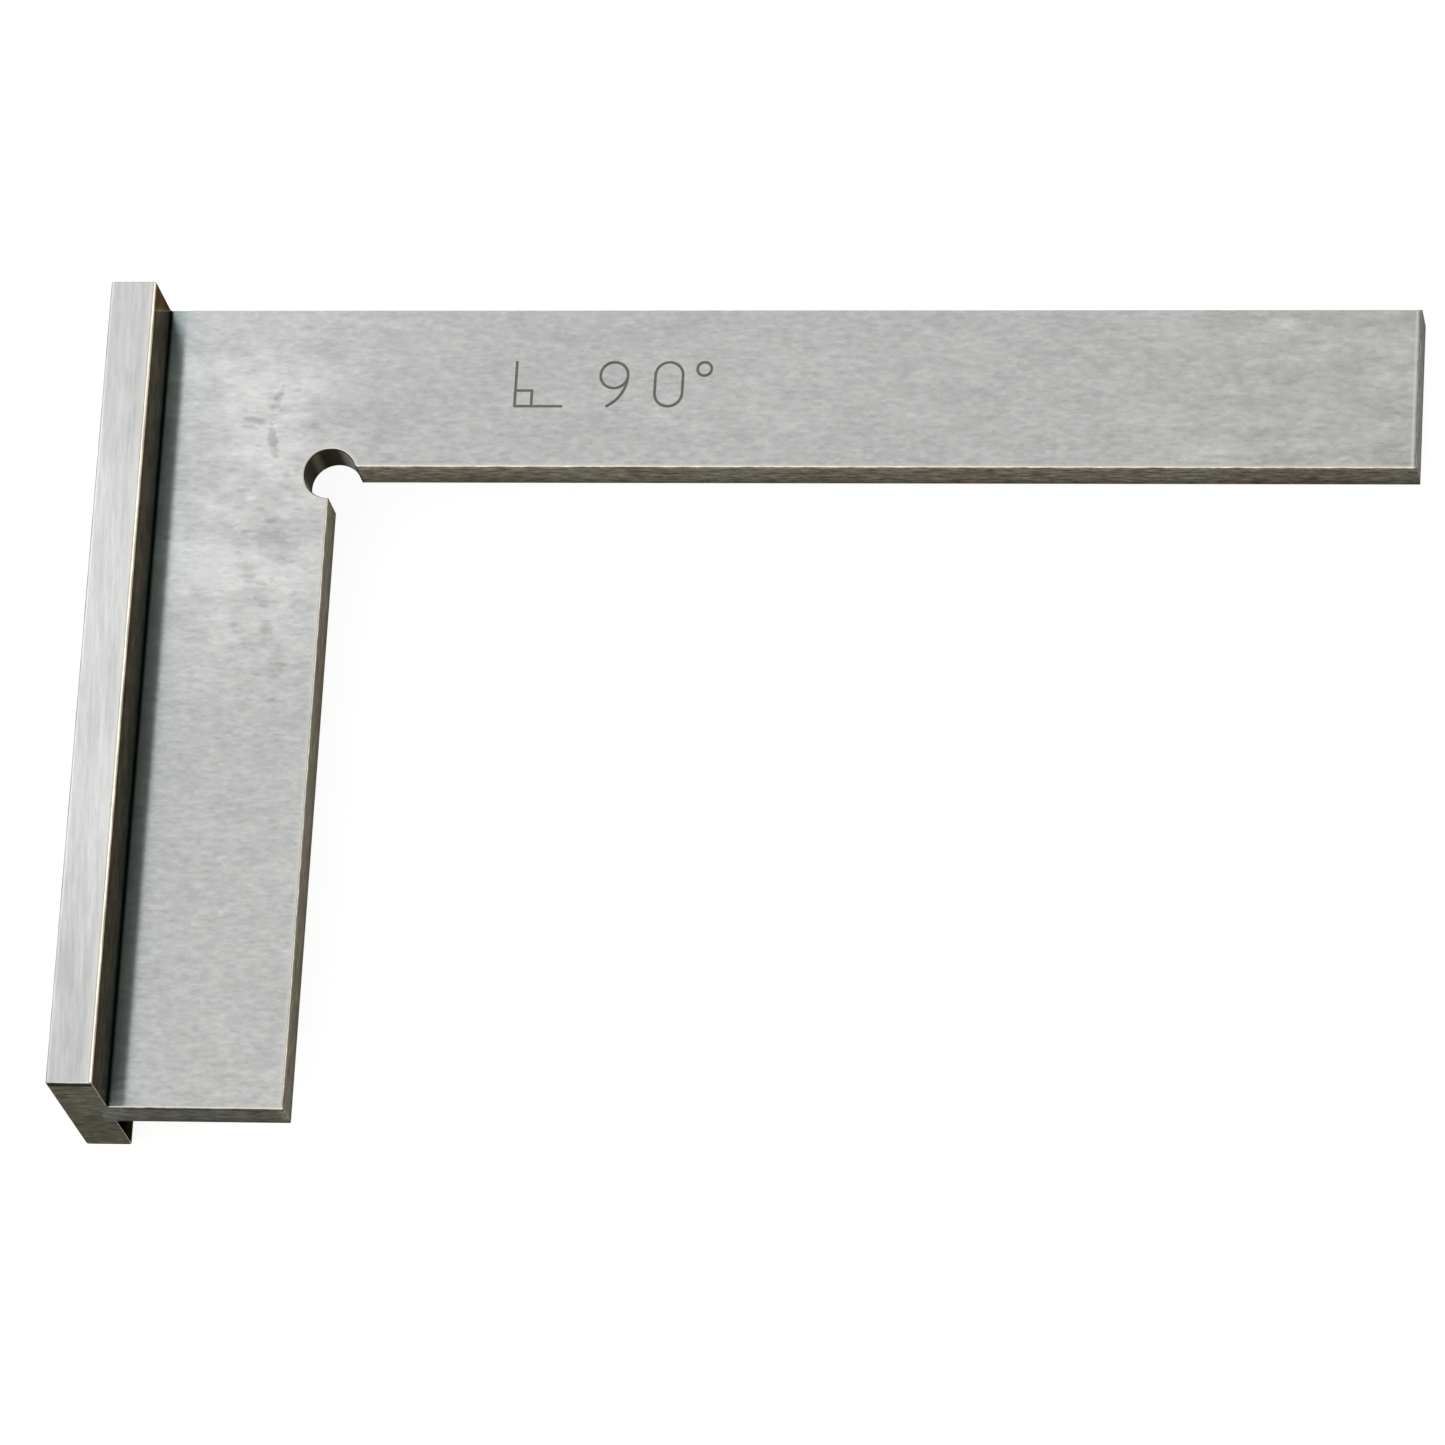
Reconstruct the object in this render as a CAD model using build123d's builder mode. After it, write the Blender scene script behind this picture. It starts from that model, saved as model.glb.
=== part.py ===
from build123d import *
import math
import os

# Machinist's back square: an L-shaped ground steel blade held in a flat-bar back.
#
# Frame: millimetres, +Z up. The square lies flat with the blade level. The long leg runs along +X
# from the back, and the back runs along Y at the low-X end. The origin is the middle of the
# overall box's bottom.

# Driving dimensions
blade_reach = 150.0        # stop face of the back to the tip of the long leg
back_length = 100.0        # also the length of the short leg's outer edge
back_thickness = 5.5
back_height = 24.0
blade_thickness = 5.5
long_leg_width = 20.0
short_leg_width = 20.8     # from the back's stop face
groove_depth = 1.2         # how far the blade is let into the back

relief_radius = 3.1        # round corner relief where the two inner edges meet
relief_offset = 0.9        # its centre, beyond the long leg's inner edge

edge_round = 0.2           # stoned edges of the blade
back_long_round = 0.4      # rounded edges along the back
back_end_round = 0.2       # and round its two end faces

# Fasteners: slotted countersunk M3 screws with 3 mm dowel pins between them
screw_spacing = 35.0
screw_count = 3
screw_length = 12.0
screw_radius = 1.5
screw_clearance = 0.1      # around the shank where it passes the back
head_radius = 2.75
slot_width = 0.8
slot_depth = 0.7
tapping_depth = 14.0       # from the outer face of the back
pin_count = 2
pin_radius = 1.5
pin_length = 14.0
point_break = 0.3          # chamfer on the points of the screws and pins
drill_point_angle = 118.0

# Engraved mark on the long leg: a right-angle sign, then the figures 90 with a degree ring
mark_height = 5.6
mark_start = 42.5          # from the stop face
mark_edge_gap = 6.7        # from the outer edge of the long leg to the top of the figures
mark_stroke = 0.34
mark_depth = 0.12
bowl_radius = 1.65         # of the figures, to the middle of the stroke
ring_radius = 0.85
corner_box = 2.0           # the small square in the sign's corner
sign_to_nine = 6.2         # from the sign's end to the middle of the 9
nine_to_zero = 6.6
zero_to_ring = 4.2
tail_turn = 62.0           # degrees that the tail of the 9 turns through

# Places worked out from them
outer_x = -(back_thickness + blade_reach) / 2
stop_x = outer_x + back_thickness
tip_x = stop_x + blade_reach
groove_x = stop_x - groove_depth
far_y = back_length / 2
near_y = -far_y
mid_z = back_height / 2
blade_bottom = mid_z - blade_thickness / 2
blade_top = mid_z + blade_thickness / 2
inner_x = stop_x + short_leg_width
inner_y = far_y - long_leg_width
drill_point = 1 / math.tan(math.radians(drill_point_angle / 2))

screw_ys = [(i - (screw_count - 1) / 2) * screw_spacing for i in range(screw_count)]
pin_ys = [(i - (pin_count - 1) / 2) * screw_spacing for i in range(pin_count)]


def from_outer_face(y):
    """Plane on the back's outer face at height mid_z, looking out along -X."""
    return Plane(origin=(outer_x, y, mid_z), x_dir=(0, 1, 0), z_dir=(-1, 0, 0))


def along_axis(y):
    """Plane through a fastener's axis: x runs into the back from its outer face, y upwards."""
    return Plane(origin=(outer_x, y, mid_z), x_dir=(1, 0, 0), z_dir=(0, -1, 0))


def drill(y, radius, depth):
    """Drill the part in hand from the outer face, with the cone that a drill leaves."""
    with BuildSketch(along_axis(y)) as profile:
        with BuildLine():
            Polyline(
                (0, 0),
                (0, radius),
                (depth, radius),
                (depth + radius * drill_point, 0),
                close=True,
            )
        make_face()
    revolve(profile.sketch, axis=Axis((outer_x, y, mid_z), (1, 0, 0)), mode=Mode.SUBTRACT)


def ring(x, y, radius):
    """Engraved circle in the sketch in hand."""
    with Locations((x, y)):
        Circle(radius + mark_stroke / 2)
        Circle(radius - mark_stroke / 2, mode=Mode.SUBTRACT)


def stroke(start, end):
    """Straight engraved stroke with round ends in the sketch in hand."""
    middle = ((start[0] + end[0]) / 2, (start[1] + end[1]) / 2)
    length = math.dist(start, end)
    slope = math.degrees(math.atan2(end[1] - start[1], end[0] - start[0]))
    with Locations(middle):
        SlotCenterToCenter(length, mark_stroke, rotation=slope)


def draw_mark():
    """The right-angle sign, the figures 9 and 0 and the degree ring, on the blade's top."""
    top = far_y - mark_edge_gap
    base = top - mark_height
    bowl_y = top - bowl_radius
    sign_x = stop_x + mark_start
    sign_end = sign_x + mark_height
    nine_x = sign_end + sign_to_nine
    zero_x = nine_x + nine_to_zero
    ring_x = zero_x + zero_to_ring
    straight = mark_height - 2 * bowl_radius
    tail_radius = (bowl_y - base) / math.sin(math.radians(tail_turn))
    with BuildSketch(Plane.XY.offset(blade_top)) as mark:
        ring(nine_x, bowl_y, bowl_radius)
        ring(ring_x, top - ring_radius, ring_radius)
        with Locations((zero_x, top - mark_height / 2)):
            SlotCenterToCenter(straight, 2 * bowl_radius + mark_stroke, rotation=90)
            SlotCenterToCenter(
                straight,
                2 * bowl_radius - mark_stroke,
                rotation=90,
                mode=Mode.SUBTRACT,
            )
        with BuildLine() as tail:
            CenterArc((nine_x + bowl_radius - tail_radius, bowl_y), tail_radius, 0, -tail_turn)
        SlotArc(tail.wires()[0], mark_stroke)
        stroke((sign_x, top), (sign_x, base))
        stroke((sign_x, base), (sign_end, base))
        stroke((sign_x, base + corner_box), (sign_x + corner_box, base + corner_box))
        stroke((sign_x + corner_box, base), (sign_x + corner_box, base + corner_box))
    return mark.sketch


with BuildPart() as blade:
    with BuildSketch(Plane.XY.offset(blade_bottom)):
        with BuildLine():
            Polyline(
                (stop_x, far_y),
                (tip_x, far_y),
                (tip_x, inner_y),
                (inner_x, inner_y),
                (inner_x, near_y),
                (stop_x, near_y),
                close=True,
            )
        make_face()
        with Locations((inner_x, inner_y - relief_offset)):
            Circle(relief_radius, mode=Mode.SUBTRACT)
    extrude(amount=blade_thickness)
    level_edges = blade.edges().group_by(Axis.Z)[0] + blade.edges().group_by(Axis.Z)[-1]
    fillet(level_edges.filter_by_position(Axis.X, stop_x + edge_round, tip_x), edge_round)
    # the strip that is let into the back keeps square edges
    with BuildSketch(Plane.XY.offset(blade_bottom)):
        with Locations((groove_x, 0)):
            Rectangle(groove_depth, back_length, align=(Align.MIN, Align.CENTER))
    extrude(amount=blade_thickness)
    for y in screw_ys:
        drill(y, screw_radius, tapping_depth)
    for y in pin_ys:
        drill(y, pin_radius, pin_length)
    extrude(draw_mark(), amount=-mark_depth, mode=Mode.SUBTRACT)
blade.part.label = "blade"

with BuildPart() as back:
    with BuildSketch(Plane.XY):
        with Locations((outer_x, 0)):
            Rectangle(back_thickness, back_length, align=(Align.MIN, Align.CENTER))
    extrude(amount=back_height)
    fillet(back.edges().filter_by(Axis.Y), back_long_round)
    end_faces = back.faces().filter_by(Axis.Y)
    fillet(end_faces.edges(), back_end_round)
    # groove for the blade's edge
    with BuildSketch(Plane.XY.offset(blade_bottom)):
        with Locations((groove_x, 0)):
            Rectangle(groove_depth, back_length, align=(Align.MIN, Align.CENTER))
    extrude(amount=blade_thickness, mode=Mode.SUBTRACT)
    for y in screw_ys:
        with Locations(from_outer_face(y)):
            CounterSinkHole(screw_radius + screw_clearance, head_radius)
    for y in pin_ys:
        with Locations(from_outer_face(y)):
            Hole(pin_radius)
back.part.label = "back"


def make_screw(y):
    """Slotted countersunk screw, its head flush with the back's outer face."""
    head_height = head_radius - screw_radius
    with BuildPart() as screw:
        with BuildSketch(along_axis(y)):
            with BuildLine():
                Polyline(
                    (0, 0),
                    (0, head_radius),
                    (head_height, screw_radius),
                    (screw_length - point_break, screw_radius),
                    (screw_length, screw_radius - point_break),
                    (screw_length, 0),
                    close=True,
                )
            make_face()
        revolve(axis=Axis((outer_x, y, mid_z), (1, 0, 0)))
        with BuildSketch(from_outer_face(y)):
            Rectangle(slot_width, 2 * head_radius)
        extrude(amount=-slot_depth, mode=Mode.SUBTRACT)
    return screw.part


def make_pin(y):
    """Plain dowel pin with broken ends, one end flush with the back's outer face."""
    with BuildPart() as pin:
        with BuildSketch(from_outer_face(y)):
            Circle(pin_radius)
        extrude(amount=-pin_length)
        chamfer(pin.edges().filter_by(GeomType.CIRCLE).sort_by(Axis.X)[-1], point_break)
    return pin.part


pieces = [blade.part, back.part]
for number, y in enumerate(screw_ys, start=1):
    screw = make_screw(y)
    screw.label = f"back_screw_{number}"
    pieces.append(screw)
for number, y in enumerate(pin_ys, start=1):
    pin = make_pin(y)
    pin.label = f"dowel_pin_{number}"
    pieces.append(pin)

os.makedirs("parts", exist_ok=True)
for piece in pieces:
    export_step(piece, f"parts/{piece.label}.step")
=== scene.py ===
"""Looks for the back square: ground steel, soft studio light, a pale floor and the camera."""

import math

import bpy
from mathutils import Matrix, Vector


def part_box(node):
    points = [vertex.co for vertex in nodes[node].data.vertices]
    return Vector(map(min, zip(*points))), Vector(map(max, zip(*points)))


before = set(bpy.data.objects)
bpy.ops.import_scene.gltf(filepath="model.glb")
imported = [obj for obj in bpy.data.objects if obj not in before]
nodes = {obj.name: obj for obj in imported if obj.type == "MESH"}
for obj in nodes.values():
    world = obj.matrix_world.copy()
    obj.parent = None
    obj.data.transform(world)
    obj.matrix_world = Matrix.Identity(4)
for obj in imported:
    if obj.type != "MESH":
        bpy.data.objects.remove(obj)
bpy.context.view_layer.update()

MM = 0.001

# Places taken from the frame
blade_low, blade_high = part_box("blade")
back_low, back_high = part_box("back")
stop_x = back_high.x
tip_x = blade_high.x
outer_y = blade_high.y
near_y = blade_low.y
blade_top = blade_high.z
blade_bottom = blade_low.z
centre = Vector(((back_low.x + blade_high.x) / 2, 0.0, (back_low.z + back_high.z) / 2))

# The same places in millimetres, as the materials use them
STOP = stop_x / MM
OUTER = outer_y / MM
NEAR = near_y / MM
TOP = blade_top / MM
BOTTOM = blade_bottom / MM
BACK_TOP = back_high.z / MM
BACK_BOTTOM = back_low.z / MM

# The blade's outline, from the stop face and the outer edge, in millimetres
LONG_LEG_WIDTH = 20.0
SHORT_LEG_WIDTH = 20.8
REACH = (tip_x - stop_x) / MM
SHORT_LEG_REACH = (outer_y - near_y) / MM
RELIEF_ALONG = 20.8        # middle of the round relief in the inner corner
RELIEF_ACROSS = 20.9
RELIEF_RADIUS = 3.1

# Camera: where it looks from, how it is rolled, and its long lens
VIEW_AZIMUTH = 24.51       # degrees from -Y towards +X
VIEW_ELEVATION = 68.67
VIEW_ROLL = -22.68
VIEW_DISTANCE = 1.1283     # metres
AIM_OFFSET = Vector((-2.95, -1.04, 0.0)) * MM    # from the middle of the square's box
LENS_MM = 239.7
SENSOR_MM = 36.0


def make_camera():
    """Long-lens camera high over the near right side, rolled so the long leg is level."""
    azimuth = math.radians(VIEW_AZIMUTH)
    elevation = math.radians(VIEW_ELEVATION)
    backwards = Vector((
        math.cos(elevation) * math.sin(azimuth),
        -math.cos(elevation) * math.cos(azimuth),
        math.sin(elevation),
    ))
    level = Vector((0, 0, 1)).cross(backwards).normalized()
    upright = backwards.cross(level)
    roll = Matrix.Rotation(math.radians(VIEW_ROLL), 3, backwards)
    turn = Matrix((roll @ level, roll @ upright, backwards)).transposed()
    data = bpy.data.cameras.new("camera")
    data.lens = LENS_MM
    data.sensor_width = SENSOR_MM
    data.clip_start = 0.01
    data.clip_end = 20.0
    camera = bpy.data.objects.new("camera", data)
    spot = centre + AIM_OFFSET + backwards * VIEW_DISTANCE
    camera.matrix_world = Matrix.Translation(spot) @ turn.to_4x4()
    bpy.context.scene.collection.objects.link(camera)
    bpy.context.scene.camera = camera


# ---------------------------------------------------------------- node helpers


class Tree:
    """Short ways to add the nodes that the materials and the world are made of."""

    def __init__(self, node_tree):
        self.tree = node_tree

    def add(self, kind, **settings):
        node = self.tree.nodes.new(kind)
        for key, value in settings.items():
            setattr(node, key, value)
        return node

    def plug(self, socket, value):
        """Link a socket to an output, or set it to a plain value or an RGB colour."""
        if isinstance(value, bpy.types.NodeSocket):
            self.tree.links.new(value, socket)
        elif socket.type == "RGBA" and value is not None:
            socket.default_value = (*value, 1)
        elif value is not None:
            socket.default_value = value

    def math(self, operation, a, b=None, c=None):
        node = self.add("ShaderNodeMath", operation=operation)
        for socket, value in zip(node.inputs, (a, b, c)):
            self.plug(socket, value)
        return node.outputs[0]

    def times(self, *factors):
        result = factors[0]
        for factor in factors[1:]:
            result = self.math("MULTIPLY", result, factor)
        return result

    def plus(self, *terms):
        result = terms[0]
        for term in terms[1:]:
            result = self.math("ADD", result, term)
        return result

    def ramp(self, value, low, high, to_low=0.0, to_high=1.0, smooth=True):
        """Map value from low..high to to_low..to_high, held at the ends."""
        node = self.add(
            "ShaderNodeMapRange",
            interpolation_type="SMOOTHSTEP" if smooth else "LINEAR",
        )
        for socket, item in zip(node.inputs, (value, low, high, to_low, to_high)):
            self.plug(socket, item)
        return node.outputs[0]

    def factor(self, mask, level):
        """level where mask is 1, and 1 where it is 0."""
        return self.math("MULTIPLY_ADD", mask, self.math("SUBTRACT", level, 1.0), 1.0)

    def faces(self, component, to_low=0.0, to_high=1.0):
        """to_high where this part of the normal is near 1, and to_low elsewhere."""
        return self.ramp(component, 0.75, 0.9, to_low, to_high)

    def band(self, value, middle, half_width, soft):
        """1 within half_width of middle, falling to 0 over soft on each side."""
        away = self.math("ABSOLUTE", self.math("SUBTRACT", value, middle))
        return self.ramp(away, half_width, half_width + soft, 1.0, 0.0)

    def mix(self, factor, a, b):
        """Colour a where factor is 0 and b where it is 1."""
        node = self.add("ShaderNodeMix", data_type="RGBA")
        self.plug(node.inputs["Factor"], factor)
        self.plug(node.inputs[6], a)
        self.plug(node.inputs[7], b)
        return node.outputs[2]

    def mix_vector(self, factor, a, b):
        node = self.add("ShaderNodeMix", data_type="VECTOR")
        self.plug(node.inputs["Factor"], factor)
        self.plug(node.inputs[4], a)
        self.plug(node.inputs[5], b)
        return node.outputs[1]

    def tint(self, colour, factor):
        """Colour times a number."""
        node = self.add("ShaderNodeVectorMath", operation="SCALE")
        self.plug(node.inputs[0], colour)
        self.plug(node.inputs["Scale"], factor)
        return node.outputs[0]

    def split(self, vector):
        node = self.add("ShaderNodeSeparateXYZ")
        self.plug(node.inputs[0], vector)
        return node.outputs

    def join(self, x, y, z):
        node = self.add("ShaderNodeCombineXYZ")
        for socket, value in zip(node.inputs, (x, y, z)):
            self.plug(socket, value)
        return node.outputs[0]

    def noise(self, where, cells, detail=2.0, rough=0.5, seed=0.0, warp=0.0):
        """Noise about 0, mostly within half. cells is how many per unit along x, y and z."""
        scaled = self.add("ShaderNodeVectorMath", operation="MULTIPLY")
        self.plug(scaled.inputs[0], where)
        scaled.inputs[1].default_value = cells
        node = self.add("ShaderNodeTexNoise", noise_dimensions="4D")
        self.plug(node.inputs["Vector"], scaled.outputs[0])
        node.inputs["W"].default_value = seed
        node.inputs["Scale"].default_value = 1.0
        node.inputs["Detail"].default_value = detail
        node.inputs["Roughness"].default_value = rough
        node.inputs["Distortion"].default_value = warp
        return self.math("SUBTRACT", node.outputs["Fac"], 0.5)

    def distance(self, x, y, middle_x, middle_y):
        dx = self.math("SUBTRACT", x, middle_x)
        dy = self.math("SUBTRACT", y, middle_y)
        return self.math("SQRT", self.plus(self.times(dx, dx), self.times(dy, dy)))

    def spot(self, x, y, middle, size, turn, ragged):
        """1 inside a ragged-edged oval with half axes size, turned by degrees; 0 outside it."""
        dx = self.math("SUBTRACT", x, middle[0])
        dy = self.math("SUBTRACT", y, middle[1])
        cos, sin = math.cos(math.radians(turn)), math.sin(math.radians(turn))
        along = self.plus(self.times(dx, cos / size[0]), self.times(dy, sin / size[0]))
        across = self.plus(self.times(dx, -sin / size[1]), self.times(dy, cos / size[1]))
        squares = self.plus(self.times(along, along), self.times(across, across))
        away = self.plus(self.math("SQRT", squares), ragged)
        return self.ramp(away, 0.35, 1.15, 1.0, 0.0)


# ---------------------------------------------------------------------- light

# What the steel reflects, by direction
ROOM = (0.56, 0.57, 0.56)           # walls all round
PALE_SIDE = (0.90, 0.91, 0.88)      # reflectors at the far side and the left
BELOW = (0.42, 0.41, 0.37)          # floor some way off
TABLE = (0.178, 0.152, 0.107)       # dark bench right below
FRONT_SHADE = (0.20, 0.19, 0.165)   # front of the bench
SOFTBOX = (0.985, 1.0, 1.0)         # overhead
DARK_PANEL = (0.012, 0.013, 0.011)  # small dark panel overhead, a little to the right
WINDOW = (2.10, 1.95, 1.70)         # tall window at the right
FRONT_LIGHT = (1.55, 1.45, 1.28)    # narrow light at the front
LOW_GLINT = (0.95, 0.86, 0.72)      # small reflector on the bench, in the upright edges


def make_world():
    """White for the camera. What the steel reflects is a soft studio, by direction."""
    world = bpy.data.worlds.new("studio")
    world.use_nodes = True
    bpy.context.scene.world = world
    world.node_tree.nodes.clear()
    t = Tree(world.node_tree)
    x, y, z = t.split(t.add("ShaderNodeTexCoord").outputs["Generated"])

    # the room, with pale reflectors at the far side and the left
    colour = t.mix(t.ramp(z, -0.10, -0.45), ROOM, BELOW)
    pale = t.math("MAXIMUM", t.ramp(y, 0.38, 0.52), t.ramp(x, -0.30, -0.45))
    colour = t.mix(pale, colour, PALE_SIDE)
    # the bench right below, and its front
    below = t.times(t.ramp(z, -0.66, -0.80), t.math("SUBTRACT", 1.0, pale))
    colour = t.mix(below, colour, TABLE)
    front_low = t.times(t.ramp(y, -0.55, -0.75), t.band(z, -0.40, 0.30, 0.08))
    colour = t.mix(front_low, colour, FRONT_SHADE)

    # the softbox overhead, brightest at the left, with a dark panel beside it
    overhead = t.ramp(z, 0.35, 0.70)
    level = t.plus(
        t.ramp(x, -0.21, -0.07, 0.88, 0.71, smooth=False),
        t.ramp(x, -0.25, -0.50, 0.0, 0.35),
    )
    colour = t.mix(overhead, colour, t.tint(SOFTBOX, level))
    panel = t.times(t.ramp(z, 0.05, 0.25), t.band(x, 0.23, 0.10, 0.03), t.ramp(y, -0.45, -0.25))
    colour = t.mix(panel, colour, DARK_PANEL)
    # the window at the right, the light at the front, and the glint low down
    right = t.times(t.ramp(x, 0.48, 0.58), t.ramp(z, -0.10, 0.10), t.band(y, 0.33, 0.12, 0.13))
    colour = t.mix(right, colour, WINDOW)
    front = t.times(t.ramp(y, -0.12, -0.35), t.ramp(z, 0.0, 0.22), t.band(x, -0.14, 0.09, 0.09))
    colour = t.mix(front, colour, FRONT_LIGHT)
    low = t.ramp(z, -0.80, -0.90)
    glint = t.times(t.band(x, 0.29, 0.08, 0.07), t.band(y, -0.20, 0.12, 0.08), low)
    colour = t.mix(glint, colour, LOW_GLINT)

    studio = t.add("ShaderNodeBackground")
    t.plug(studio.inputs["Color"], colour)
    plain = t.add("ShaderNodeBackground")
    plain.inputs["Color"].default_value = (1, 1, 1, 1)
    chosen = t.add("ShaderNodeMixShader")
    t.plug(chosen.inputs[0], t.add("ShaderNodeLightPath").outputs["Is Camera Ray"])
    t.plug(chosen.inputs[1], studio.outputs[0])
    t.plug(chosen.inputs[2], plain.outputs[0])
    t.plug(t.add("ShaderNodeOutputWorld").inputs[0], chosen.outputs[0])


# ------------------------------------------------------------------ materials


# Colours of the blade's steel
FACE = (0.582, 0.582, 0.580)
FACE_AT_TIP = (0.588, 0.580, 0.560)
# painted reflection tints of the back: cool near it, teal right along it
FACE_BY_BACK = (0.570, 0.586, 0.588)
BACK_REFLECTION_TINT = (0.465, 0.565, 0.572)            # painted teal reflection of the back, right along it
WARM_RIM_HIGHLIGHT = (0.80, 0.735, 0.64)          # painted warm highlight on the inner and near edges
# painted highlight line across the tip
TIP_HIGHLIGHT = (0.80, 0.80, 0.78)
ENGRAVING_DARK = (0.10, 0.095, 0.08)             # in the engraving
SAWN_WARM = (0.560, 0.528, 0.480)       # the edges are patchy, between these two
SAWN_COOL = (0.515, 0.535, 0.515)
OUTER_EDGE = (0.575, 0.572, 0.562)
NEAR_END = (0.515, 0.575, 0.560)
TIP_END = (0.435, 0.470, 0.500)
# painted shade inside the drilled relief
RELIEF_SHADE = (0.035, 0.035, 0.025)

# Colours of the back's steel
BACK_FACE = (0.760, 0.757, 0.757)
# painted warm highlight along the back's inner top edge
WARM_EDGE_HIGHLIGHT = (0.93, 0.87, 0.80)
BACK_END = (0.490, 0.525, 0.490)
BACK_OUTER = (0.545, 0.545, 0.540)
BACK_INNER = (0.47, 0.45, 0.41)
EDGE_ON_TOP = (1.0, 0.71, 0.55)         # tints of the inner side seen edge-on: painted brown reflection at the top, painted shade below the blade
EDGE_ON_MIDDLE = (0.76, 0.74, 0.66)
EDGE_ON_BELOW = (0.09, 0.12, 0.10)

SCREW_STEEL = (0.50, 0.49, 0.47)
PIN_STEEL = (0.60, 0.60, 0.58)

# Noise, in cells per millimetre along X, Y and Z
BLADE_GRAIN = (0.78, 2.0, 2.0)
BLADE_BLOTCH = (0.14, 0.40, 0.4)
BLADE_CLOUD = (0.035, 0.06, 0.06)
BLADE_MOTTLE = (0.50, 0.50, 1.7)
BLADE_PATCH = (0.07, 0.07, 0.25)
BACK_GRAIN = (2.4, 0.22, 2.4)
BACK_STREAK = (0.9, 0.05, 0.9)
BACK_CLOUD = (0.25, 0.09, 0.25)
BACK_MOTTLE = (0.50, 0.30, 1.6)
FASTENER_GRAIN = (2.4, 0.3, 2.4)

GRAIN_DEPTH = 0.004         # millimetres
BUMP_STRENGTH = 0.5
REFLECTION_TINT_FULL = 1.2             # the painted reflection tint on the blade, from the stop face
REFLECTION_TINT_END = 2.6
LAY_SLANT = 0.05            # of the lines on the back's top, X per Y
FAR_CORNER_LEAN = 0.356     # of the dull far corner's edge, Y per Z


def start_metal(name):
    """New material: its Tree, its shader, and place in millimetres and normal of the frame."""
    material = bpy.data.materials.new(name)
    material.use_nodes = True
    t = Tree(material.node_tree)
    shader = material.node_tree.nodes["Principled BSDF"]
    shader.inputs["Metallic"].default_value = 1.0
    coords = t.add("ShaderNodeTexCoord")
    place = t.tint(coords.outputs["Object"], 1 / MM)
    return material, t, shader, place, coords.outputs["Normal"]


def add_grain_bump(t, shader, height):
    bump = t.add("ShaderNodeBump")
    bump.inputs["Strength"].default_value = BUMP_STRENGTH
    bump.inputs["Distance"].default_value = GRAIN_DEPTH * MM
    t.plug(bump.inputs["Height"], height)
    t.plug(shader.inputs["Normal"], bump.outputs[0])


# Marks on the blade's top: (from the stop face, from the outer edge), (half length, half width),
# turn in degrees, and how much lighter or darker
SMUDGES = (
    ((17.5, 6.5), (6.5, 2.8), -15, -0.10),
    ((13.8, 11.6), (0.6, 1.9), 20, -0.28),
    ((15.4, 12.6), (2.8, 0.6), 8, -0.16),
    ((11.4, 14.2), (1.7, 0.5), 10, -0.28),
    ((13.6, 16.6), (0.6, 2.6), -14, -0.36),
    ((17.0, 14.8), (2.4, 1.2), 0, -0.09),
    ((14.6, 29.5), (2.5, 2.8), 0, -0.16),
    ((11.8, 33.5), (1.1, 1.9), -30, -0.20),
    ((14.6, 40.8), (1.1, 1.8), 0, -0.14),
    ((16.0, 44.8), (1.2, 2.8), 10, -0.15),
    ((30.0, 17.3), (6.0, 1.0), -8, 0.09),
    ((25.0, 1.5), (7.0, 0.9), 4, 0.08),
    ((14.0, 3.0), (5.0, 0.8), 0, 0.06),
    ((134.5, 1.9), (2.2, 0.8), 5, 0.16),
    ((138.5, 2.8), (1.6, 0.6), -20, 0.10),
    ((127.0, 18.1), (5.5, 0.35), 3, 0.14),
    ((107.0, 18.4), (2.8, 0.45), 0, 0.12),
    ((55.0, 15.6), (10.0, 3.2), 0, -0.05),
)


def blade_marks(t, place, along, across):
    """How much lighter or darker the blade's top is, beyond its grain."""
    ragged = t.times(t.noise(place, (0.9, 1.5, 1.0), detail=3.0, rough=0.6, seed=4.0), 2.0)
    total = None
    for middle, size, turn, change in SMUDGES:
        mark = t.times(t.spot(along, across, middle, size, turn, ragged), change)
        total = mark if total is None else t.plus(total, mark)
    # the corner is worn brighter, in patches
    corner = t.times(
        t.ramp(along, 27.0, 15.0), t.ramp(across, 54.0, 36.0), t.ramp(across, 2.0, 9.0, 0.4, 1.0),
    )
    patches = t.noise(place, (0.10, 0.17, 0.1), detail=3.0, rough=0.6, seed=6.0)
    worn = t.times(corner, t.ramp(patches, -0.09, 0.11, 0.09, 0.34))
    # rubbed dark specks on the short leg, light flecks everywhere
    specks = t.noise(place, (0.35, 0.75, 0.4), detail=2.0, rough=0.6, seed=7.0)
    rubbed = t.times(
        t.band(along, 13.5, 3.5, 4.0), t.band(across, 30.0, 17.0, 12.0),
        t.ramp(specks, 0.06, 0.18), -0.20,
    )
    dots = t.noise(place, (0.45, 1.1, 0.5), detail=1.0, rough=0.5, seed=8.0)
    flecks = t.times(t.ramp(dots, 0.17, 0.27), 0.11)
    return t.plus(total, worn, rubbed, flecks)


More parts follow.
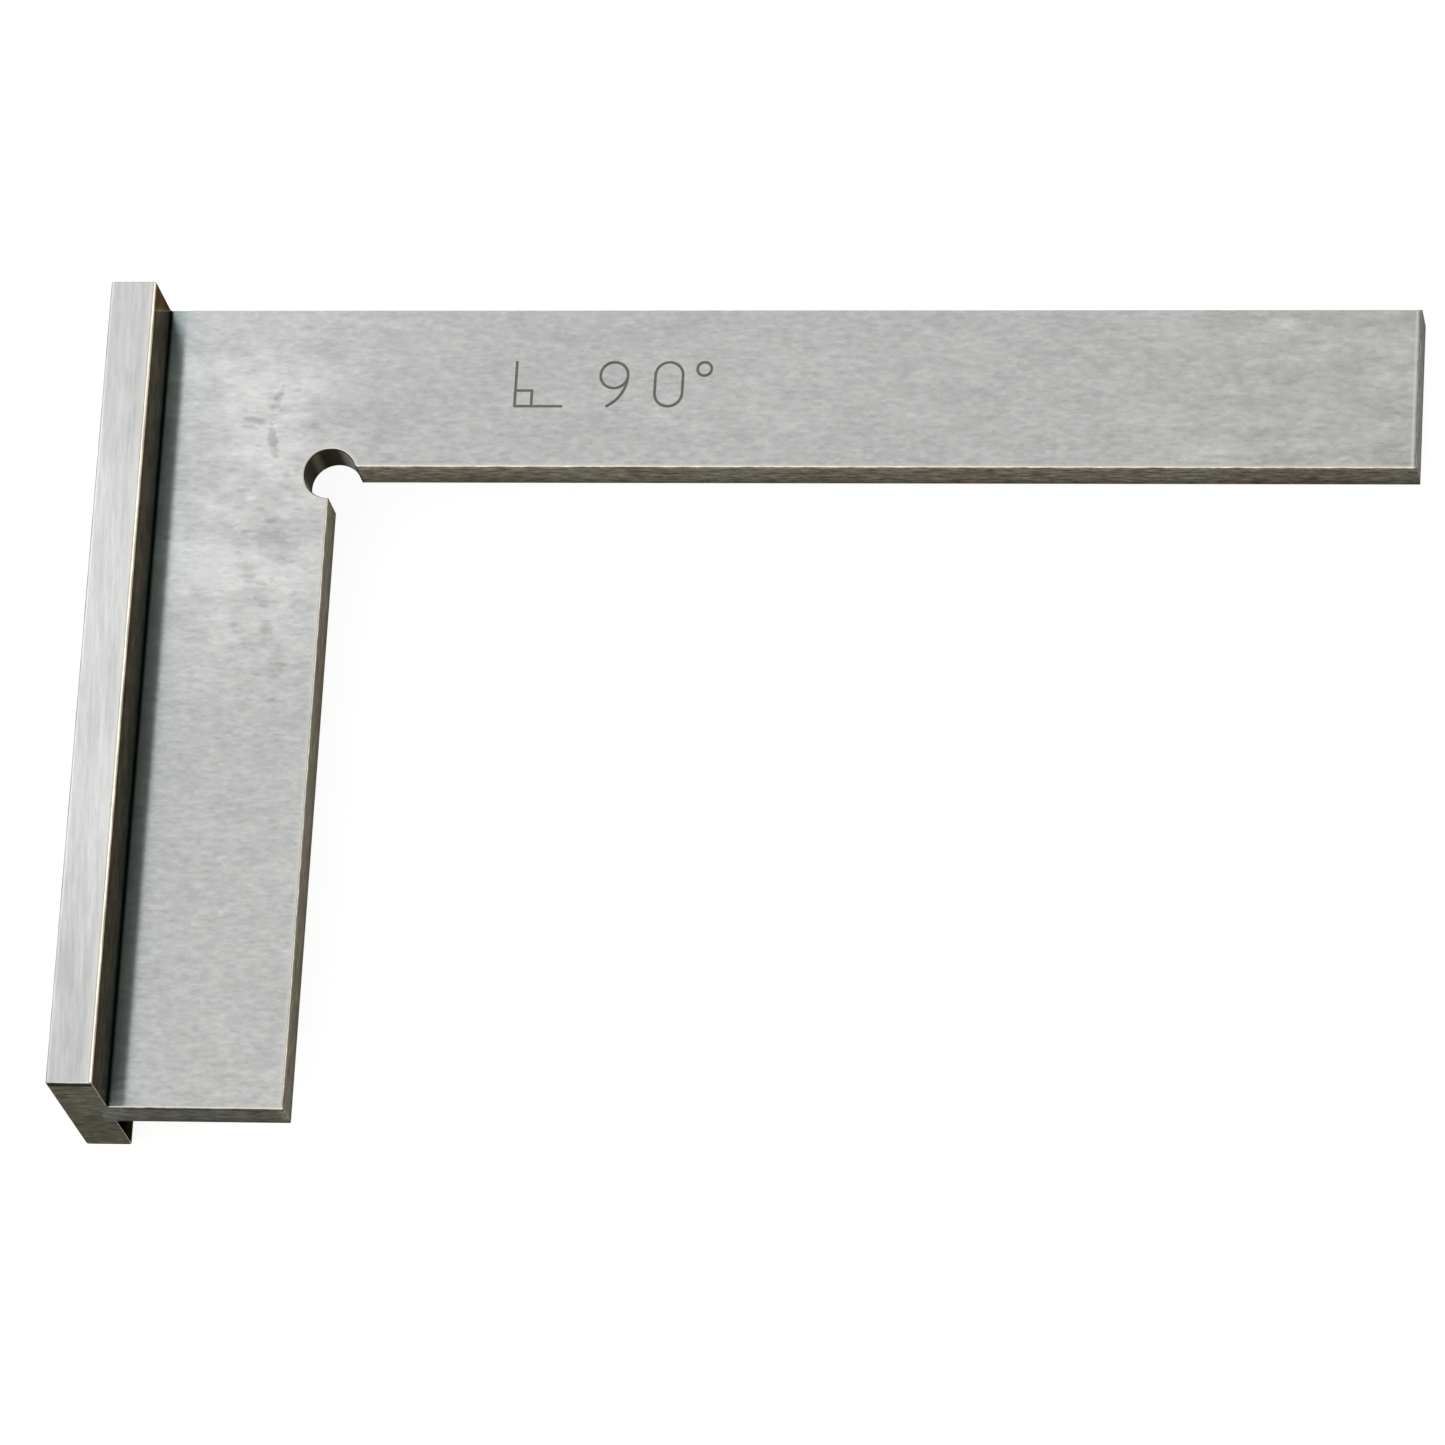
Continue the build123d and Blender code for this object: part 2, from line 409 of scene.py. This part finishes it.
def near_rim_highlight(t, along, across, from_hole):
    """1 at the inner and near edges of the blade, where a warm white highlight is painted."""
    long_edge = t.times(
        t.ramp(t.math("SUBTRACT", LONG_LEG_WIDTH, across), 0.1, 0.6, 1.0, 0.0),
        t.ramp(along, RELIEF_ALONG, RELIEF_ALONG + 0.5),
    )
    short_edge = t.times(
        t.ramp(t.math("SUBTRACT", SHORT_LEG_WIDTH, along), 0.1, 0.8, 1.0, 0.0),
        t.ramp(across, RELIEF_ACROSS, RELIEF_ACROSS + 0.5),
    )
    short_end = t.ramp(t.math("SUBTRACT", SHORT_LEG_REACH, across), 0.1, 0.5, 0.7, 0.0)
    hole = t.ramp(from_hole, RELIEF_RADIUS + 0.1, RELIEF_RADIUS + 0.7, 1.0, 0.0)
    rim = t.math("MAXIMUM", t.math("MAXIMUM", long_edge, short_edge), short_end)
    return t.math("MAXIMUM", rim, hole)


def blade_face_colour(t, place, along, across, from_hole, fine):
    """Colour of the blade's top and underside."""
    blotch = t.noise(place, BLADE_BLOTCH, detail=2.0, rough=0.55, seed=2.0)
    cloud = t.noise(place, BLADE_CLOUD, detail=3.0, rough=0.6, seed=3.0)
    towards_tip = t.ramp(along, 108.0, 146.0)
    level = t.plus(
        1.0,
        t.times(fine, 0.80),
        t.times(blotch, t.plus(0.22, t.times(towards_tip, 0.45))),
        t.times(cloud, 0.18),
        blade_marks(t, place, along, across),
    )
    tone = t.mix(towards_tip, FACE, FACE_AT_TIP)
    # painted reflection of the back: a cool tone near it, teal right along it
    tone = t.mix(t.ramp(along, 9.0, 1.5, 0.0, 0.8), tone, FACE_BY_BACK)
    tone = t.mix(t.ramp(along, REFLECTION_TINT_END, REFLECTION_TINT_FULL), tone, BACK_REFLECTION_TINT)
    colour = t.tint(tone, level)
    # painted warm highlight along the inner and near edges and the relief's rim
    colour = t.mix(t.times(near_rim_highlight(t, along, across, from_hole), 0.55), colour, WARM_RIM_HIGHLIGHT)
    # the tip is worn round, which is painted: a highlight line, and painted shade over the last
    # half millimetre
    tip_highlight_line = t.times(t.band(along, REACH - 0.58, 0.08, 0.16), 0.55)
    colour = t.mix(tip_highlight_line, colour, TIP_HIGHLIGHT)
    tip_shade = t.ramp(along, REACH - 0.50, REACH - 0.08, 1.0, 0.34, smooth=False)
    colour = t.tint(colour, tip_shade)
    # painted shade right against the back
    shade_by_back = t.times(t.ramp(along, 0.07, 0.48, 0.03, 0.80), t.ramp(along, 0.2, 1.5, 1.0, 1.25))
    return t.tint(colour, shade_by_back)


def blade_edge_colour(t, place, normal, along, across, from_hole):
    """Colour of the blade's edges: mottled, with painted shade towards their bottom and a painted
    highlight near their top.
    """
    y, z = t.split(place)[1:]
    nx, ny = t.split(normal)[:2]
    mottle = t.noise(place, BLADE_MOTTLE, detail=3.0, rough=0.65, seed=5.0)
    patch = t.noise(place, BLADE_PATCH, detail=2.0, rough=0.5, seed=9.0)
    near_end = t.ramp(y, NEAR + 0.5, NEAR + 0.2)

    # the outer edge is ground smoother than the others, and the edges that face +X a little
    uneven = t.times(t.faces(ny, 1.0, 0.22), t.faces(nx, 1.0, 0.6))
    rubbed = t.times(uneven, t.plus(t.times(mottle, 3.6), t.times(patch, 0.9)))
    # painted shade towards the bottom and a painted highlight near the top
    lower = t.ramp(z, BOTTOM + 0.1, BOTTOM + 2.8, 0.58, 1.0)
    upper = t.ramp(z, TOP - 1.6, TOP - 0.2, 1.0, 1.30)
    level = t.times(t.plus(0.92, rubbed), lower, upper)
    # the short leg's end is duller, with a painted dark line of shade under its top edge
    under_edge_shade = t.band(z, TOP - 0.50, 0.20, 0.18)
    end_level = t.plus(0.94, t.times(under_edge_shade, -0.50))
    level = t.times(level, t.factor(near_end, end_level))
    level = t.times(level, t.ramp(along, 100.0, 148.0, 0.98, 0.84))
    # painted highlight at the short leg's near corner, and painted shade over the tip's top edge
    near_corner_highlight = t.times(near_end, t.band(along, SHORT_LEG_WIDTH, 0.35, 0.7))
    level = t.times(level, t.factor(near_corner_highlight, 1.7))
    at_tip = t.ramp(along, REACH - 0.35, REACH - 0.2)
    tip_edge_shade = t.times(at_tip, t.ramp(z, TOP - 0.3, TOP - 0.1))
    level = t.times(level, t.factor(tip_edge_shade, 0.35))
    # the short leg's inner edge is painted darker too, as shade
    short_inner_shade = t.times(t.ramp(along, 22.0, 21.0), t.ramp(across, 20.0, 21.0))
    level = t.times(level, t.factor(short_inner_shade, 0.70))

    tone = t.mix(t.ramp(patch, -0.15, 0.15), SAWN_WARM, SAWN_COOL)
    tone = t.mix(t.faces(ny), tone, OUTER_EDGE)
    tone = t.mix(near_end, tone, NEAR_END)
    tone = t.mix(t.ramp(along, REACH - 0.5, REACH - 0.1), tone, TIP_END)
    # the drilled relief's wall is painted near black, as shade in the hole
    hole_shade = t.ramp(from_hole, RELIEF_RADIUS + 0.25, RELIEF_RADIUS + 0.10)
    return t.mix(hole_shade, t.tint(tone, level), t.tint(RELIEF_SHADE, level))


def blade_steel():
    """Surface-ground plate: lines along X on both faces, lengthwise lines on the edges."""
    material, t, shader, place, normal = start_metal("ground_blade")
    x, y, z = t.split(place)
    along = t.math("SUBTRACT", x, STOP)
    across = t.math("SUBTRACT", OUTER, y)
    _, _, nz = t.split(normal)
    is_face = t.faces(t.math("ABSOLUTE", nz))
    from_hole = t.distance(along, across, RELIEF_ALONG, RELIEF_ACROSS)
    fine = t.noise(place, BLADE_GRAIN, detail=4.0, rough=0.60, seed=1.0)

    face_colour = blade_face_colour(t, place, along, across, from_hole, fine)
    # darker in the engraving, whose floor lies a little under the top
    engraved = t.times(t.ramp(z, TOP - 0.02, TOP - 0.07), t.ramp(z, TOP - 1.0, TOP - 0.5))
    face_colour = t.mix(t.times(engraved, 0.85), face_colour, ENGRAVING_DARK)
    edge_colour = blade_edge_colour(t, place, normal, along, across, from_hole)

    t.plug(shader.inputs["Base Color"], t.mix(is_face, edge_colour, face_colour))
    t.plug(shader.inputs["Roughness"], t.ramp(fine, -0.3, 0.3, 0.21, 0.26, smooth=False))
    # less metallic where the back's teal reflection is painted on
    t.plug(shader.inputs["Metallic"], t.ramp(along, REFLECTION_TINT_FULL, REFLECTION_TINT_END, 0.84, 1.0))
    shader.inputs["Anisotropic"].default_value = 1.0
    t.plug(shader.inputs["Tangent"], t.mix_vector(is_face, (0, 0, 1), (0, 1, 0)))
    add_grain_bump(t, shader, fine)
    return material


def back_edge_on_tint(t, y, z, inner, mottle):
    """Specular tint of the back: a painted brown reflection on the inner side where it is seen
    edge-on, else white.
    """
    tint = t.mix(t.ramp(z, TOP, BACK_TOP), EDGE_ON_MIDDLE, EDGE_ON_TOP)
    tint = t.tint(tint, t.plus(0.98, t.times(mottle, 1.8)))
    # dullest in the far corner above the blade, beyond a slanted line
    far_corner = t.plus(y, t.times(t.plus(z, -TOP), FAR_CORNER_LEAN))
    tint = t.tint(tint, t.ramp(far_corner, OUTER - 0.4, OUTER + 0.3, 1.0, 0.55))
    # painted shade: nearly black below the blade
    tint = t.mix(t.ramp(z, BOTTOM, TOP), EDGE_ON_BELOW, tint)
    return t.mix(inner, (1.0, 1.0, 1.0), tint)


def back_face_colour(t, place, slanted, fine, cloud):
    """Colour of the back's top and bottom: streaked, and rubbed brighter in bands."""
    x, y = t.split(place)[:2]
    streak = t.noise(slanted, BACK_STREAK, detail=2.0, rough=0.55, seed=12.0)
    worn = t.band(y, -2.0, 14.0, 34.0)
    dull = t.ramp(y, -46.0, -20.0, -0.05, 0.0)
    bright = t.plus(t.band(y, 17.0, 4.0, 8.0), t.band(y, -15.0, 5.0, 8.0), t.ramp(y, 36.0, 44.0))
    level = t.plus(
        0.94,
        dull,
        t.times(bright, 0.035),
        t.times(worn, 0.10),
        t.times(fine, 0.55),
        t.times(streak, 0.4),
        t.times(cloud, 0.30),
    )
    # painted warm highlight along the inner edge
    inner_edge_highlight = t.ramp(x, STOP - 1.4, STOP - 0.45, 0.0, 0.52)
    return t.mix(inner_edge_highlight, t.tint(BACK_FACE, level), WARM_EDGE_HIGHLIGHT)


def back_edge_colour(t, place, normal, inner, mottle, cloud):
    """Colour of the back's ends, outer face and inner side."""
    z = t.split(place)[2]
    nx, ny = t.split(normal)[:2]
    # the two ends are rougher, with painted shade towards the bottom and a painted dark line of
    # shade under the top
    end = t.faces(t.math("ABSOLUTE", ny))
    level = t.plus(1.0, t.times(mottle, t.plus(2.2, t.times(end, 1.6))), t.times(cloud, 0.8))
    under_edge_shade = t.band(z, BACK_TOP - 0.76, 0.42, 0.24)
    end_level = t.times(t.ramp(z, 8.0, 16.0, 0.56, 0.74), t.plus(1.0, t.times(under_edge_shade, -0.9)))
    level = t.times(level, t.factor(end, end_level))
    outer = t.math("MAXIMUM", t.faces(t.math("MULTIPLY", nx, -1.0)), t.faces(ny))
    colour = t.mix(outer, t.tint(BACK_END, level), t.tint(BACK_OUTER, level))
    # the inner side is painted darker as shade, darkest along the blade
    upper = t.ramp(z, TOP, BACK_TOP, 0.60, 1.05)
    lower = t.ramp(z, BOTTOM, BACK_BOTTOM, 0.35, 0.80)
    height = t.ramp(z, BOTTOM, TOP)
    shade = t.plus(t.times(upper, height), t.times(lower, t.math("SUBTRACT", 1.0, height)))
    return t.mix(inner, colour, t.tint(BACK_INNER, t.times(shade, level)))


def back_steel():
    """Ground bar: lines along its length, a little slanted on the top and bottom."""
    material, t, shader, place, normal = start_metal("ground_back")
    x, y, z = t.split(place)
    nx, _, nz = t.split(normal)
    is_face = t.faces(t.math("ABSOLUTE", nz))
    inner = t.faces(nx)
    slanted = t.join(t.plus(x, t.times(y, LAY_SLANT)), y, z)
    fine = t.noise(slanted, BACK_GRAIN, detail=3.0, rough=0.62, seed=11.0)
    cloud = t.noise(place, BACK_CLOUD, detail=3.0, rough=0.6, seed=13.0)
    mottle = t.noise(place, BACK_MOTTLE, detail=3.0, rough=0.65, seed=14.0)

    face_colour = back_face_colour(t, place, slanted, fine, cloud)
    edge_colour = back_edge_colour(t, place, normal, inner, mottle, cloud)
    t.plug(shader.inputs["Base Color"], t.mix(is_face, edge_colour, face_colour))
    rough = t.ramp(fine, -0.3, 0.3, 0.23, 0.29, smooth=False)
    t.plug(shader.inputs["Roughness"], t.times(rough, t.factor(inner, 0.35)))
    t.plug(shader.inputs["Specular Tint"], back_edge_on_tint(t, y, z, inner, mottle))
    shader.inputs["Anisotropic"].default_value = 0.9
    t.plug(shader.inputs["Tangent"], t.mix_vector(is_face, (0, 0, 1), (1, 0, 0)))
    add_grain_bump(t, shader, fine)
    return material


def fastener_steel(node, colour, seed):
    """End of one screw or pin, ground off with the back's outer face."""
    material, t, shader, place, _ = start_metal(node + "_steel")
    x, y, z = t.split(place)
    low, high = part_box(node)
    middle = (low + high) / 2 / MM
    radius = (high.y - low.y) / 2 / MM
    outer_end = low.x / MM
    away = t.distance(y, z, middle.y, middle.z)
    rim = t.ramp(away, radius - 0.16, radius - 0.04, 1.0, 0.35)
    sunk = t.ramp(x, outer_end + 0.1, outer_end + 0.3, 1.0, 0.35)
    grain = t.noise(place, FASTENER_GRAIN, detail=3.0, rough=0.6, seed=seed)
    level = t.times(t.plus(1.0, t.times(grain, 0.8)), rim, sunk)
    t.plug(shader.inputs["Base Color"], t.tint(colour, level))
    shader.inputs["Roughness"].default_value = 0.3
    shader.inputs["Anisotropic"].default_value = 0.7
    t.plug(shader.inputs["Tangent"], (0, 0, 1))
    add_grain_bump(t, shader, grain)
    return material


def put_on(material, name):
    slots = nodes[name].data.materials
    slots.clear()
    slots.append(material)


# ---------------------------------------------------------------------- floor


FLOOR_REACH = 3.0           # metres each way from the middle
FLOOR_GREY = (0.24, 0.24, 0.24, 1)
FLOOR_GLOW = 0.88           # keeps it as pale as the surroundings


def make_floor():
    """Pale floor that the square lies on: it rests on the back's inner edge and the blade's tip."""
    heel = Vector((stop_x, 0, back_low.z))
    toe = Vector((tip_x, 0, blade_bottom))
    slope = (toe - heel).normalized()
    middle = (heel + toe) / 2
    corners = [
        middle + slope * (a * FLOOR_REACH) + Vector((0, b * FLOOR_REACH, 0))
        for a, b in ((-1, -1), (1, -1), (1, 1), (-1, 1))
    ]
    mesh = bpy.data.meshes.new("floor")
    mesh.from_pydata([tuple(corner) for corner in corners], [], [(0, 1, 2, 3)])
    floor = bpy.data.objects.new("floor", mesh)
    bpy.context.scene.collection.objects.link(floor)
    material = bpy.data.materials.new("pale_floor")
    material.use_nodes = True
    shader = material.node_tree.nodes["Principled BSDF"]
    shader.inputs["Base Color"].default_value = FLOOR_GREY
    shader.inputs["Roughness"].default_value = 1.0
    shader.inputs["Specular IOR Level"].default_value = 0.0
    shader.inputs["Emission Color"].default_value = (1, 1, 1, 1)
    shader.inputs["Emission Strength"].default_value = FLOOR_GLOW
    mesh.materials.append(material)
    # the steel reflects the world's dark bench instead
    floor.visible_glossy = False


make_camera()
make_world()
make_floor()
put_on(blade_steel(), "blade")
put_on(back_steel(), "back")
for name in sorted(nodes):
    if name.startswith("back_screw"):
        put_on(fastener_steel(name, SCREW_STEEL, seed=21.0), name)
    elif name.startswith("dowel_pin"):
        put_on(fastener_steel(name, PIN_STEEL, seed=22.0), name)

bpy.context.scene.view_settings.view_transform = "Standard"
